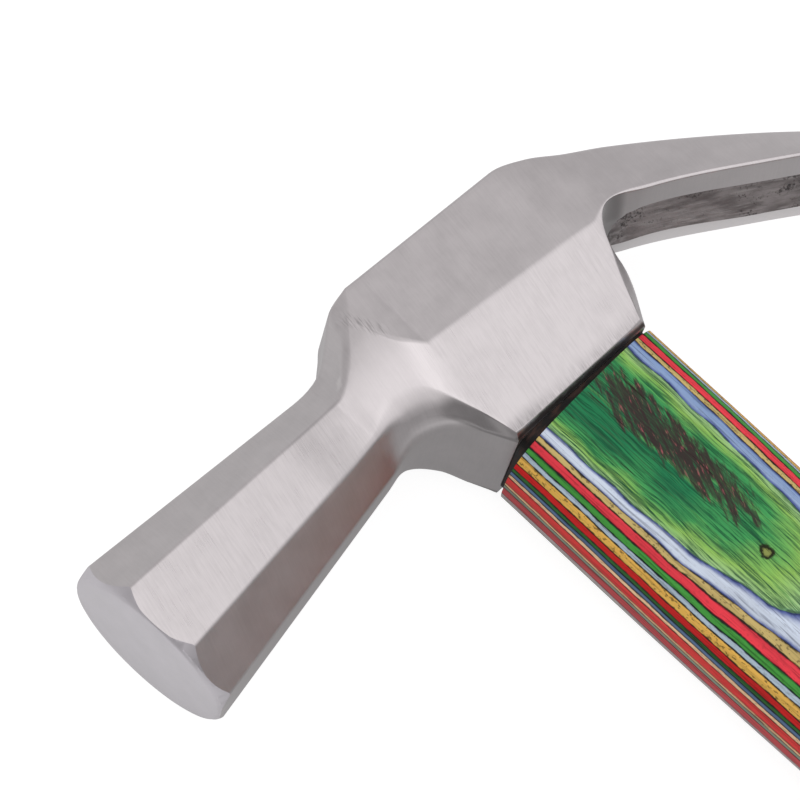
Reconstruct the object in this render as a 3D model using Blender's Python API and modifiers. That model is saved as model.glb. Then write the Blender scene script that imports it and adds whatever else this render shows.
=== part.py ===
"""Farrier's driving hammer: forged octagonal head with a split claw on a handle of dyed veneers.

The working frame has its zero where the barrel's level meets the handle's axis: X runs to the
claws, Y to the top of the head, Z to the cheek that faces up. A parent empty then lifts the
hammer so that it lies with its lower cheek on the ground.
"""

import math

import bmesh
import bpy
from mathutils import Vector
from mathutils.geometry import interpolate_bezier

MM = 0.001

# Head as a whole.
CHEEK_HALF = 12.7 * MM         # half the head's thickness over its two cheeks
TOP_HALF = 8.0 * MM            # half the width of the flat on top of the head
TOP_HEIGHT = 10.8 * MM         # top of the head over the handle's axis
TOP_FALL = 0.092               # the top falls by this share of its length, towards the claws
FOOT_DEPTH = 19.75 * MM        # underside of the eye's boss, on the handle's axis
FOOT_TILT = 0.045              # the underside falls by this share of its length, to the claws
FOOT_CHAMFER = 0.75 * MM       # chamfer round the foot of the boss
BOSS_HALF = 12.1 * MM          # half the boss's length at its foot
RIDGE_DEPTH = 3.3 * MM         # ridge along the cheek's upper border, at the handle's axis
RIDGE_FALL = 0.15              # the ridge falls by this share of its length
CHEEK_CENTRE = 11.0 * MM       # middle of the cheek's flat, below the barrel's level

# Octagonal barrel, flared from the neck to the striking face.
FACE_REACH = 63.7 * MM         # striking face to the handle's axis
NECK_REACH = 24.6 * MM         # narrowest place to the handle's axis
FACE_FLATS = 12.65 * MM        # half the width over the flats, at the face
NECK_FLATS = 8.0 * MM          # the same at the neck
FACE_AXIS_DROP = 3.0 * MM      # the barrel's axis below its level at the face
NECK_AXIS_DROP = 1.9 * MM      # the same at the neck
FLAT_SHARE = 0.45              # half of one flat, as a share of half the width
FACE_RADIUS = 12.5 * MM        # turned edge of the striking face
FACE_CONE = 0.33               # spread of the turned chamfer behind it, for each unit of length
FACE_EDGE = 0.45 * MM          # rounding between the face and its chamfer
FACE_CROWN = 0.4 * MM          # how far the middle of the face stands out
FACE_FLAT = 5.0 * MM           # radius of the flat left in the middle of the crown

# Shoulder between the neck and the eye.
SHOULDER_REACH = 14.9 * MM     # where the shoulder meets the cheek, to the handle's axis
SHOULDER_PEAK = 8.65 * MM      # height of the point where its edges meet
SHOULDER_HALF = 9.0 * MM       # half the thickness there

# Split claws.
ROOT_REACH = 21.0 * MM         # root of the claws to the handle's axis
ROOT_DEPTH = 4.9 * MM          # their outer edge at the root, below the barrel's level
TIP_REACH = 58.4 * MM          # tips of the claws to the handle's axis
TIP_DEPTH = 28.6 * MM          # outer edge at the tips, below the barrel's level
CLAW_HALF = 12.4 * MM          # half the width over the claws
CLAW_SAG = 1.1 * MM            # how far the claws' edge bows above a straight line
CLAW_BOW_AT = 0.25             # where it bows most, as a share of the way to the tips
CLAW_EDGE = 0.45 * MM          # ground edge along the claws
TIP_THICKNESS = 1.6 * MM       # thickness of the tips
ROOT_THICKNESS = 9.0 * MM      # thickness of the claws where they leave the head
TIP_TOP_HALF = 9.5 * MM        # half the flat on top, at the tips
GROOVE_HALF = 6.2 * MM         # half the width of the groove under the claws
GROOVE_DEPTH = 6.5 * MM        # its depth
GROOVE_FLOOR = 0.75 * MM       # half the width of its floor
GROOVE_START = 1.6 * MM        # start of the groove, past the root of the claws

# Eye and handle fit.
EYE_HALF_LENGTH = 9.3 * MM     # along the head
EYE_HALF_WIDTH = 5.6 * MM      # across the head, below the kerf
EYE_CLEARANCE = 0.3 * MM       # tenon to eye, all round
EYE_ROUND = 4.0                # exponent of the eye's rounded outline
KERF_LEVEL = -11.0 * MM        # bottom of the kerf, on the handle's axis
KERF_SPREAD = 0.6 * MM         # how far each half of the tenon is wedged outwards at the top
TENON_INSET = 0.3 * MM         # end of the tenon below the top of the head
WEDGE_CLEARANCE = 0.2 * MM     # wooden wedge to the veneers beside it
WEDGE_HALF_LENGTH = 8.4 * MM   # wooden wedge along the eye
STEEL_HALF_LENGTH = 3.3 * MM   # steel wedge, across the head
STEEL_TOP_HALF = 1.1 * MM      # half its thickness at the top
STEEL_TIP_HALF = 0.35 * MM     # half its thickness at the tip
STEEL_DEPTH = 12.0 * MM        # how deep it is driven
STEEL_CLEARANCE = 0.2 * MM     # steel wedge to the wood round it

# Bedding between the head and the handle's shoulder.
BEDDING = 0.85 * MM            # thickness of the resin, on the handle's axis
BEDDING_INSET = 0.8 * MM       # resin inside the boss's foot, all round

# Handle, along its length below the barrel's level.
HANDLE_LENGTH = 308.0 * MM     # barrel's level to the butt
SHOULDER_WIDTH = 14.1 * MM     # half widths along the handle
BELLY_WIDTH = 14.2 * MM
BELLY_AT = 46.0 * MM
WAIST_WIDTH = 12.6 * MM
WAIST_AT = 150.0 * MM
SWELL_WIDTH = 15.6 * MM
SWELL_AT = 268.0 * MM
BUTT_WIDTH = 14.4 * MM
BUTT_ROUND = 9.0 * MM          # length of the rounding at the butt
BUTT_FLAT = 0.5                # share of the section left flat on the butt
HANDLE_ROUND = 3.0             # exponent of the handle's oval
GRIP_HALF = 11.05 * MM         # half the thickness of the grip; the outer veneers run out there
THIN_FROM = 30.0 * MM          # where the handle starts to get thinner towards the grip
THIN_TO = 98.0 * MM            # where it is as thin as the grip
GLUE_LINE = 0.04 * MM          # glue between two veneers

# Veneers from the upper cheek's side to the lower: name, thickness, colour.
VENEERS = (
    ("veneer_01_green", 0.76 * MM, (0.07, 0.27, 0.10)),
    ("veneer_02_pale_blue", 0.61 * MM, (0.45, 0.51, 0.60)),
    ("veneer_03_olive", 0.43 * MM, (0.45, 0.34, 0.13)),
    ("veneer_04_bright_red", 0.75 * MM, (0.67, 0.06, 0.07)),
    ("veneer_05_green", 0.70 * MM, (0.06, 0.26, 0.07)),
    ("veneer_06_light_blue", 0.63 * MM, (0.34, 0.41, 0.45)),
    ("veneer_07_amber", 1.22 * MM, (0.65, 0.39, 0.09)),
    ("veneer_08_dark_red", 1.13 * MM, (0.43, 0.02, 0.02)),
    ("veneer_09_dark_green", 0.72 * MM, (0.02, 0.09, 0.02)),
    ("veneer_10_navy", 0.93 * MM, (0.03, 0.05, 0.09)),
    ("veneer_11_cream", 0.92 * MM, (0.73, 0.45, 0.26)),
    ("veneer_12_red", 2.40 * MM, (0.54, 0.04, 0.03)),
    ("veneer_13_tan", 0.80 * MM, (0.64, 0.39, 0.20)),
    ("veneer_14_grey_green", 1.15 * MM, (0.17, 0.19, 0.15)),
    ("veneer_15_rose_red", 2.65 * MM, (0.34, 0.05, 0.06)),
    ("veneer_16_grey", 2.20 * MM, (0.34, 0.30, 0.30)),
    ("veneer_17_green", 0.90 * MM, (0.06, 0.26, 0.07)),
    ("veneer_18_amber", 1.00 * MM, (0.65, 0.39, 0.09)),
    ("veneer_19_red", 1.20 * MM, (0.54, 0.04, 0.03)),
    ("veneer_20_blue", 1.00 * MM, (0.12, 0.18, 0.33)),
    ("veneer_21_olive", 0.70 * MM, (0.45, 0.34, 0.13)),
    ("veneer_22_green", 1.10 * MM, (0.07, 0.27, 0.10)),
    ("veneer_23_maroon", 1.10 * MM, (0.07, 0.03, 0.03)),
)
KERF_VENEER = 13               # place in the list of the veneer sawn out for the wooden wedge

STACK_HALF = sum(row[1] for row in VENEERS) / 2
SHOULDER_LEVEL = -FOOT_DEPTH - BEDDING
OVERCUT = 6.0 * MM             # how far cutters run past what they cut


def clear_scene():
    for thing in list(bpy.data.objects):
        bpy.data.objects.remove(thing, do_unlink=True)


def make_collection(name):
    group = bpy.data.collections.new(name)
    bpy.context.scene.collection.children.link(group)
    return group


def make_material(name, colour, roughness, metallic=0.0):
    material = bpy.data.materials.new(name)
    material.use_nodes = True
    shader = material.node_tree.nodes["Principled BSDF"]
    shader.inputs["Base Color"].default_value = (*colour, 1.0)
    shader.inputs["Roughness"].default_value = roughness
    shader.inputs["Metallic"].default_value = metallic
    return material


def add_object(name, mesh, group, parent):
    piece = bpy.data.objects.new(name, mesh)
    group.objects.link(piece)
    piece.parent = parent
    return piece


def add_part(name, mesh, material):
    mesh.materials.append(material)
    return add_object(name, mesh, PARTS, FRAME)


def add_cutter(name, mesh):
    cutter = add_object(name, mesh, CUTTERS, FRAME)
    cutter.hide_render = True
    cutter.display_type = "WIRE"
    return cutter


def boolean(piece, cutter, operation):
    step = piece.modifiers.new(cutter.name, "BOOLEAN")
    step.operation = operation
    step.solver = "EXACT"
    step.object = cutter


def loft(rings):
    """Skin closed rings of the same count of points and cap both ends."""
    shape = bmesh.new()
    rows = [[shape.verts.new(point) for point in ring] for ring in rings]
    count = len(rows[0])
    for row, following in zip(rows, rows[1:]):
        for i in range(count):
            j = (i + 1) % count
            shape.faces.new((row[i], row[j], following[j], following[i]))
    shape.faces.new(rows[0][::-1])
    shape.faces.new(rows[-1])
    bmesh.ops.recalc_face_normals(shape, faces=shape.faces)
    return shape


def to_mesh(name, shape):
    mesh = bpy.data.meshes.new(name)
    shape.to_mesh(mesh)
    shape.free()
    return mesh


def oval(half_x, half_z, exponent, count):
    """Points of a rounded outline, from an ellipse at exponent 2 to a rectangle."""
    points = []
    for i in range(count):
        turn = math.tau * (i + 0.5) / count
        c = math.cos(turn)
        s = math.sin(turn)
        x = math.copysign(abs(c) ** (2 / exponent), c) * half_x
        z = math.copysign(abs(s) ** (2 / exponent), s) * half_z
        points.append((x, z))
    return points


def edge_curve(knots, corners, steps):
    """Points of one long edge of the head: a smooth line through its knots, broken at corners.

    A span of one step is straight, and the spans beside it leave along its line.
    """
    last = len(knots) - 1
    points = [knots[0]]
    for i in range(last):
        a = knots[i]
        b = knots[i + 1]
        reach = (b - a).length / 3
        leave = b - a
        arrive = b - a
        if i > 0 and i not in corners:
            before = a - knots[i - 1]
            straight = steps[i - 1] == 1
            leave = before if straight else leave.normalized() + before.normalized()
        if i + 1 < last and i + 1 not in corners:
            after = knots[i + 2] - b
            straight = steps[i + 1] == 1
            arrive = after if straight else arrive.normalized() + after.normalized()
        first = a + leave.normalized() * reach
        second = b - arrive.normalized() * reach
        points += interpolate_bezier(a, first, second, b, steps[i] + 1)[1:]
    for point in points:
        point.z = min(point.z, CHEEK_HALF)
    return points


def barrel_corner(reach, side):
    """One corner of the octagon at this distance from the handle's axis; side 0 is the top."""
    share = (reach - NECK_REACH) / (FACE_REACH - NECK_REACH)
    half = NECK_FLATS + (FACE_FLATS - NECK_FLATS) * share
    drop = NECK_AXIS_DROP + (FACE_AXIS_DROP - NECK_AXIS_DROP) * share
    flat = half * FLAT_SHARE
    up = (half, flat, -flat, -half)[side]
    out = (flat, half, half, flat)[side]
    return Vector((-reach, up - drop, out))


def top_level(x):
    return TOP_HEIGHT - TOP_FALL * x


def foot_level(x):
    return -FOOT_DEPTH - FOOT_TILT * x


def ridge_level(x):
    return -RIDGE_DEPTH - RIDGE_FALL * x


def claw_point(share, lift, out):
    """A point along the claws: share of the way from root to tip, lift square to their line."""
    run = Vector((TIP_REACH - ROOT_REACH, ROOT_DEPTH - TIP_DEPTH, 0))
    square = Vector((-run.y, run.x, 0)).normalized()
    span = CLAW_BOW_AT if share < CLAW_BOW_AT else 1 - CLAW_BOW_AT
    bow = CLAW_SAG * (1 - ((share - CLAW_BOW_AT) / span) ** 2)
    base = Vector((ROOT_REACH, -ROOT_DEPTH, 0)) + run * share
    return base + square * (lift + bow) + Vector((0, 0, out))


def claw_thickness(share):
    return ROOT_THICKNESS + (TIP_THICKNESS - ROOT_THICKNESS) * share


def head_edges():
    """The four long edges on the upper half of the head, from beyond the face to the tips."""
    beyond = FACE_REACH + OVERCUT
    throat = BOSS_HALF + 4 * MM
    shoulder = -SHOULDER_REACH
    inner = GROOVE_HALF - 1.8 * MM
    left = -BOSS_HALF + 0.2 * MM
    right = BOSS_HALF - 0.4 * MM
    left_foot = foot_level(left)
    right_foot = foot_level(right)
    top = [
        barrel_corner(beyond, 0),
        barrel_corner(NECK_REACH + 2.6 * MM, 0),
        Vector((shoulder - 7.1 * MM, SHOULDER_PEAK - 2.05 * MM, 4.45 * MM)),
        Vector((shoulder - 3.1 * MM, SHOULDER_PEAK + 0.5 * MM, 5.9 * MM)),
        Vector((shoulder - 0.3 * MM, SHOULDER_PEAK + 2.55 * MM, 7.15 * MM)),
        Vector((shoulder + 3.3 * MM, top_level(shoulder + 3.3 * MM), TOP_HALF)),
        Vector((-BOSS_HALF + 3 * MM, top_level(-BOSS_HALF + 3 * MM), TOP_HALF)),
        Vector((BOSS_HALF + 1.8 * MM, top_level(BOSS_HALF + 1.8 * MM), TOP_HALF)),
        Vector((throat + 2.6 * MM, top_level(throat + 2.6 * MM) - 1.5 * MM, TOP_HALF)),
        claw_point(-0.076, claw_thickness(-0.1), TOP_HALF),
        claw_point(0.06, claw_thickness(0.09), TOP_HALF),
        claw_point(0.53, claw_thickness(0.52), (TOP_HALF + TIP_TOP_HALF) / 2),
        claw_point(1.0, TIP_THICKNESS, TIP_TOP_HALF),
    ]
    ridge = [
        barrel_corner(beyond, 1),
        barrel_corner(NECK_REACH, 1),
        Vector((shoulder - 4.5 * MM, SHOULDER_PEAK - 4.0 * MM, SHOULDER_HALF)),
        Vector((shoulder, SHOULDER_PEAK, SHOULDER_HALF)),
        Vector((shoulder + 1.4 * MM, SHOULDER_PEAK - 6.3 * MM, (SHOULDER_HALF + CHEEK_HALF) / 2)),
        Vector((-BOSS_HALF + 1.2 * MM, ridge_level(-BOSS_HALF) - 0.4 * MM, CHEEK_HALF)),
        Vector((BOSS_HALF, ridge_level(BOSS_HALF), CHEEK_HALF)),
        Vector((throat + 1.1 * MM, ridge_level(throat + 1.1 * MM), CHEEK_HALF)),
        claw_point(0.0, 0, CLAW_HALF),
        claw_point(0.13, 0, CLAW_HALF),
        claw_point(0.55, 0, CLAW_HALF),
        claw_point(1.0, 0, CLAW_HALF),
    ]
    foot = [
        barrel_corner(beyond, 2),
        barrel_corner(NECK_REACH, 2),
        Vector((shoulder - 4.6 * MM, ridge_level(0) - 1.8 * MM, CHEEK_HALF - 2.2 * MM)),
        Vector((shoulder - 0.7 * MM, ridge_level(0) - 3.7 * MM, CHEEK_HALF)),
        Vector((-BOSS_HALF - 1.2 * MM, left_foot + 7.4 * MM, CHEEK_HALF)),
        Vector((left + 0.2 * MM, left_foot + FOOT_CHAMFER, CHEEK_HALF)),
        Vector((right - 0.4 * MM, right_foot + FOOT_CHAMFER, CHEEK_HALF)),
        Vector((throat - 0.7 * MM, right_foot + 9.1 * MM, CHEEK_HALF)),
        claw_point(-0.02, -CLAW_EDGE - 0.2 * MM, CLAW_HALF),
        claw_point(0.13, -CLAW_EDGE, CLAW_HALF - 0.1 * MM),
        claw_point(0.55, -CLAW_EDGE, CLAW_HALF - 0.1 * MM),
        claw_point(1.0, -CLAW_EDGE, CLAW_HALF - 0.1 * MM),
    ]
    under = [
        barrel_corner(beyond, 3),
        barrel_corner(NECK_REACH, 3),
        Vector((shoulder - 4.9 * MM, barrel_corner(NECK_REACH, 3).y + 0.6 * MM, 7.2 * MM)),
        Vector((shoulder - 0.5 * MM, left_foot + 6.8 * MM, CHEEK_HALF - 2.2 * MM)),
        Vector((-BOSS_HALF - 1.7 * MM, left_foot + 3.8 * MM, CHEEK_HALF - 1.1 * MM)),
        Vector((left, left_foot, CHEEK_HALF - 2 * FOOT_CHAMFER)),
        Vector((right, right_foot, CHEEK_HALF - 2 * FOOT_CHAMFER)),
        Vector((throat + 0.1 * MM, right_foot + 6.9 * MM, CHEEK_HALF - 2.9 * MM)),
        claw_point(-0.04, -CLAW_EDGE - 2.0 * MM, CLAW_HALF - 4.6 * MM),
        claw_point(0.13, -CLAW_EDGE - 0.75 * MM, inner),
        claw_point(0.55, -CLAW_EDGE - 0.9 * MM, inner),
        claw_point(1.0, -CLAW_EDGE - 0.4 * MM, inner),
    ]
    neck = (1, 4, 4, 3, 3)
    claws = (1, 4, 4, 3, 4, 4)
    return [
        edge_curve(top, (5, 6), (1, 2, 2, 2, 2, 6) + claws),
        edge_curve(ridge, (3, 5, 7), neck + claws),
        edge_curve(foot, (5, 6), neck + claws),
        edge_curve(under, (5, 6), neck + claws),
    ]


def make_head():
    edges = head_edges()
    rings = []
    for row in zip(*edges):
        mirrored = [Vector((point.x, point.y, -point.z)) for point in reversed(row)]
        rings.append(list(row) + mirrored)
    head = add_part("head", to_mesh("head", loft(rings)), STEEL)
    boolean(head, make_face_cutter(), "INTERSECT")
    boolean(head, make_groove_cutter(), "DIFFERENCE")
    boolean(head, EYE_CUTTER, "DIFFERENCE")
    return head


def make_face_cutter():
    """A turned cone round the whole head: its small end is the striking face."""
    depth = FACE_REACH + TIP_REACH + 4 * OVERCUT
    profile = [
        (0, depth),
        (FACE_RADIUS + FACE_CONE * depth, depth),
        (FACE_RADIUS + FACE_CONE * FACE_EDGE, FACE_EDGE),
        (FACE_RADIUS - 0.3 * FACE_EDGE, 0.3 * FACE_EDGE),
        (FACE_RADIUS - FACE_EDGE, 0),
        ((FACE_RADIUS + FACE_FLAT) / 2, -0.7 * FACE_CROWN),
        (FACE_FLAT, -FACE_CROWN),
        (0, -FACE_CROWN),
    ]
    mesh = bpy.data.meshes.new("face_cutter")
    links = [(i, i + 1) for i in range(len(profile) - 1)]
    mesh.from_pydata([(r, 0, z) for r, z in profile], links, [])
    cutter = add_cutter("face_cutter", mesh)
    turn = cutter.modifiers.new("turn", "SCREW")
    turn.steps = 64
    turn.render_steps = 64
    turn.use_merge_vertices = True
    turn.merge_threshold = 0.00005
    slope = math.atan2(FACE_AXIS_DROP - NECK_AXIS_DROP, FACE_REACH - NECK_REACH)
    cutter.location = (-FACE_REACH, -FACE_AXIS_DROP, 0)
    cutter.rotation_euler = (0, math.pi / 2, slope)
    return cutter


def make_groove_cutter():
    """A V-shaped bar along the underside of the claws, rounded off where it starts."""
    length = (Vector((TIP_REACH, TIP_DEPTH)) - Vector((ROOT_REACH, ROOT_DEPTH))).length
    start = GROOVE_START / length
    spots = [
        (start, 0.6),
        (start + 0.015, 0.8),
        (start + 0.04, 0.93),
        (start + 0.09, 1.0),
        (0.25, 1.0),
        (0.4, 1.0),
        (0.55, 1.0),
        (0.7, 1.0),
        (0.85, 1.0),
        (1.0 + OVERCUT / length, 1.0),
    ]
    rings = []
    for share, size in spots:
        low = -CLAW_EDGE - OVERCUT
        half = GROOVE_HALF * size
        spread = half + (half - GROOVE_FLOOR) / GROOVE_DEPTH * OVERCUT
        rim = GROOVE_DEPTH * size - CLAW_EDGE
        rings.append([
            claw_point(share, low, spread),
            claw_point(share, rim, GROOVE_FLOOR * size),
            claw_point(share, rim, -GROOVE_FLOOR * size),
            claw_point(share, low, -spread),
        ])
    return add_cutter("groove_cutter", to_mesh("groove_cutter", loft(rings)))


def spread_at(level):
    """How far the wedge pushes each half of the tenon outwards at this level."""
    return max(0.0, KERF_SPREAD * (level - KERF_LEVEL) / (TOP_HEIGHT - KERF_LEVEL))


def make_eye_cutter():
    rings = []
    low = SHOULDER_LEVEL - OVERCUT
    high = TOP_HEIGHT + TOP_FALL * NECK_REACH + OVERCUT
    for level in (low, KERF_LEVEL, high):
        half = EYE_HALF_WIDTH + spread_at(level)
        ring = oval(EYE_HALF_LENGTH, half, EYE_ROUND, 28)
        rings.append([Vector((x, level, z)) for x, z in ring])
    return add_cutter("eye_cutter", to_mesh("eye_cutter", loft(rings)))


def handle_width(depth):
    """Half the handle's width at this depth below the barrel's level."""
    marks = (
        (-SHOULDER_LEVEL, SHOULDER_WIDTH),
        (BELLY_AT, BELLY_WIDTH),
        (WAIST_AT, WAIST_WIDTH),
        (SWELL_AT, SWELL_WIDTH),
        (HANDLE_LENGTH, BUTT_WIDTH),
    )
    for (a, first), (b, second) in zip(marks, marks[1:]):
        if depth <= b:
            share = (depth - a) / (b - a)
            ease = share * share * (3 - 2 * share)
            return first + (second - first) * ease
    return BUTT_WIDTH


def handle_half(depth):
    """Half the handle's thickness at this depth."""
    share = min(max((depth - THIN_FROM) / (THIN_TO - THIN_FROM), 0.0), 1.0)
    return STACK_HALF + (GRIP_HALF - STACK_HALF) * share * share * (3 - 2 * share)


def handle_blank():
    """The handle's outside as one body, from the butt to the end of the tenon."""
    count = 40
    rings = []
    for turn in (1.0, 0.85, 0.65, 0.4, 0.0):
        depth = HANDLE_LENGTH - BUTT_ROUND * (1 - math.sin(turn * math.pi / 2))
        size = BUTT_FLAT + (1 - BUTT_FLAT) * math.cos(turn * math.pi / 2)
        rings.append((depth, handle_width(depth) * size, handle_half(depth) * size))
    straight = HANDLE_LENGTH - BUTT_ROUND
    fall = straight + SHOULDER_LEVEL
    for share in (0.93, 0.84, 0.73, 0.62, 0.5, 0.4, 0.33, 0.29, 0.25, 0.215, 0.18,
                  0.15, 0.12, 0.09, 0.06, 0.03, 0.0):
        depth = -SHOULDER_LEVEL + fall * share
        rings.append((depth, handle_width(depth), handle_half(depth)))
    skin = []
    for depth, half_x, half_z in rings:
        outline = oval(half_x, half_z, HANDLE_ROUND, count)
        skin.append([Vector((x, -depth, z)) for x, z in outline])
    tenon = oval(EYE_HALF_LENGTH - EYE_CLEARANCE, EYE_HALF_WIDTH - EYE_CLEARANCE, EYE_ROUND, count)
    for level in (SHOULDER_LEVEL, KERF_LEVEL):
        skin.append([Vector((x, level, z)) for x, z in tenon])
    skin.append([Vector((x, top_level(x) - TENON_INSET, z)) for x, z in tenon])
    return loft(skin)


def trim(shape, point, normal):
    """Cut away what lies on the normal's side of a plane and close the cut."""
    everything = shape.verts[:] + shape.edges[:] + shape.faces[:]
    bmesh.ops.bisect_plane(
        shape, geom=everything, dist=1e-7, plane_co=point, plane_no=normal, clear_outer=True)
    rim = [edge for edge in shape.edges if edge.is_boundary]
    bmesh.ops.holes_fill(shape, edges=rim, sides=0)


def make_veneers():
    blank = handle_blank()
    upper = STACK_HALF
    for place, (name, thickness, colour) in enumerate(VENEERS):
        lower = upper - thickness
        sheet = blank.copy()
        if place > 0:
            trim(sheet, (0, 0, upper - GLUE_LINE / 2), (0, 0, 1))
        if place < len(VENEERS) - 1:
            trim(sheet, (0, 0, lower + GLUE_LINE / 2), (0, 0, -1))
        if place == KERF_VENEER:
            trim(sheet, (0, KERF_LEVEL, 0), (0, 1, 0))
        else:
            everything = sheet.verts[:] + sheet.edges[:] + sheet.faces[:]
            bmesh.ops.bisect_plane(
                sheet, geom=everything, dist=1e-7, plane_co=(0, KERF_LEVEL, 0), plane_no=(0, 1, 0))
            side = 1 if place < KERF_VENEER else -1
            for vert in sheet.verts:
                vert.co.z += side * spread_at(vert.co.y)
        bmesh.ops.recalc_face_normals(sheet, faces=sheet.faces)
        reach = max(vert.co.y for vert in sheet.verts)
        piece = add_part(name, to_mesh(name, sheet), make_material(name, colour, 0.45))
        if reach > KERF_LEVEL and place != KERF_VENEER:
            split_for_steel(piece, upper, lower)
        upper = lower
    blank.free()


def split_for_steel(piece, upper, lower):
    """Notch a veneer of the tenon where the steel wedge is driven through it."""
    if lower < STEEL_HALF_LENGTH and upper > -STEEL_HALF_LENGTH:
        boolean(piece, NOTCH_CUTTER, "DIFFERENCE")


def kerf_faces():
    """Upper and lower faces of the sawn-out veneer."""
    upper = STACK_HALF - sum(row[1] for row in VENEERS[:KERF_VENEER])
    return upper, upper - VENEERS[KERF_VENEER][1]


def make_wooden_wedge():
    upper, lower = kerf_faces()
    rings = []
    for x in (-WEDGE_HALF_LENGTH, WEDGE_HALF_LENGTH):
        tip = KERF_LEVEL + WEDGE_CLEARANCE
        end = top_level(x) - TENON_INSET
        rings.append([
            Vector((x, tip, upper + spread_at(tip) - WEDGE_CLEARANCE)),
            Vector((x, end, upper + spread_at(end) - WEDGE_CLEARANCE)),
            Vector((x, end, lower - spread_at(end) + WEDGE_CLEARANCE)),
            Vector((x, tip, lower - spread_at(tip) + WEDGE_CLEARANCE)),
        ])
    wedge = add_part("wooden_wedge", to_mesh("wooden_wedge", loft(rings)), BEECH)
    boolean(wedge, NOTCH_CUTTER, "DIFFERENCE")


def steel_wedge_rings(grow, rise):
    """Rings of the steel wedge, or of its notch when grown and raised past the top."""
    end = TOP_HEIGHT - TENON_INSET
    slope = (STEEL_TOP_HALF - STEEL_TIP_HALF) / STEEL_DEPTH
    rings = []
    for level in (end - STEEL_DEPTH - grow, end + rise):
        half = STEEL_TIP_HALF + slope * (level - end + STEEL_DEPTH) + grow
        out = STEEL_HALF_LENGTH + grow
        rings.append([
            Vector((half, level, out)),
            Vector((half, level, -out)),
            Vector((-half, level, -out)),
            Vector((-half, level, out)),
        ])
    return rings


def make_bedding():
    half_x = BOSS_HALF - BEDDING_INSET
    half_z = CHEEK_HALF - FOOT_CHAMFER - BEDDING_INSET
    outline = oval(half_x, half_z, HANDLE_ROUND + 1, 36)
    rings = [
        [Vector((x, SHOULDER_LEVEL, z)) for x, z in outline],
        [Vector((x, foot_level(x), z)) for x, z in outline],
    ]
    ring = add_part("bedding_ring", to_mesh("bedding_ring", loft(rings)), RESIN)
    boolean(ring, EYE_CUTTER, "DIFFERENCE")


clear_scene()
PARTS = make_collection("farrier_hammer")
CUTTERS = make_collection("cutters")
FRAME = bpy.data.objects.new("hammer_frame", None)
PARTS.objects.link(FRAME)
FRAME.location = (0, CHEEK_CENTRE, CHEEK_HALF)

STEEL = make_material("ground_steel", (0.55, 0.54, 0.55), 0.35, 1.0)
WEDGE_STEEL = make_material("wedge_steel", (0.35, 0.35, 0.36), 0.5, 1.0)
BEECH = make_material("beech", (0.62, 0.42, 0.24), 0.6)
RESIN = make_material("black_resin", (0.02, 0.018, 0.018), 0.5)

EYE_CUTTER = make_eye_cutter()
NOTCH_CUTTER = add_cutter(
    "notch_cutter", to_mesh("notch_cutter", loft(steel_wedge_rings(STEEL_CLEARANCE, OVERCUT))))

make_head()
make_bedding()
make_veneers()
make_wooden_wedge()
add_part("steel_wedge", to_mesh("steel_wedge", loft(steel_wedge_rings(0, 0))), WEDGE_STEEL)
bpy.context.view_layer.update()
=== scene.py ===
"""Farrier's driving hammer, dressed: ground steel head with a split claw, handle of dyed veneers.

Sizes are in millimetres, in the hammer's own axes: X to the claws, Y to the top of the head, Z to
the cheek that faces up. place() carries a point into the row frame, in metres.
"""
import math

import bmesh
import bpy
from mathutils import Matrix, Vector, noise
from mathutils.bvhtree import BVHTree
from mathutils.geometry import interpolate_bezier
from mathutils.interpolate import poly_3d_calc


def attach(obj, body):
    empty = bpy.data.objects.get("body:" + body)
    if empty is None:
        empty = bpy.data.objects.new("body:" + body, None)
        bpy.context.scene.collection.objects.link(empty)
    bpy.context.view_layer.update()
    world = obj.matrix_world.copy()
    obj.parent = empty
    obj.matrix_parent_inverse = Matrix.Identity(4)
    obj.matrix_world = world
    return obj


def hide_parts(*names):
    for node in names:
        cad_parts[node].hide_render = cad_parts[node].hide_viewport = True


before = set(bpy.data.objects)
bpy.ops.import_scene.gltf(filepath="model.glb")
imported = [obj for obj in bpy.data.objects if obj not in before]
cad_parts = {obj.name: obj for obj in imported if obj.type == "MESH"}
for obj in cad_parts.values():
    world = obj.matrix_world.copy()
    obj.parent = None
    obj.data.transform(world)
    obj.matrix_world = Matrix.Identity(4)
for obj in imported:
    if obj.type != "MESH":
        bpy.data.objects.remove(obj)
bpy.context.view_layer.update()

MM = 0.001

# Head.
CHEEK_HALF = 12.7
CHEEK_CENTRE = 11.0
TOP_HALF = 8.0
TOP_HEIGHT = 10.8
TOP_FALL = 0.092
FOOT_DEPTH = 19.75
FOOT_TILT = 0.045
FOOT_CHAMFER = 0.75
BOSS_HALF = 12.1
RIDGE_DEPTH = 3.3
RIDGE_FALL = 0.15
FACE_REACH = 63.7
NECK_REACH = 24.6
FACE_FLATS = 12.65
NECK_FLATS = 8.0
FACE_AXIS_DROP = 3.0
NECK_AXIS_DROP = 1.9
FLAT_SHARE = 0.45
FACE_RADIUS = 12.5
FACE_CONE = 0.55
FACE_EDGE = 0.45
FACE_CROWN = 0.4
SHOULDER_REACH = 14.9
SHOULDER_PEAK = 8.65
SHOULDER_HALF = 9.0
ROOT_REACH = 21.0
ROOT_DEPTH = 4.9
TIP_REACH = 58.4
TIP_DEPTH = 28.6
CLAW_HALF = 12.4
CLAW_SAG = 1.1
CLAW_BOW_AT = 0.25
CLAW_EDGE = 0.45
TIP_THICKNESS = 1.6
ROOT_THICKNESS = 9.0
TIP_TOP_HALF = 9.5
GROOVE_HALF = 6.2
GROOVE_DEPTH = 6.5
GROOVE_FLOOR = 0.75
GROOVE_START = 1.6
PAST = 6.0                      # how far cutters run past what they cut

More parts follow.
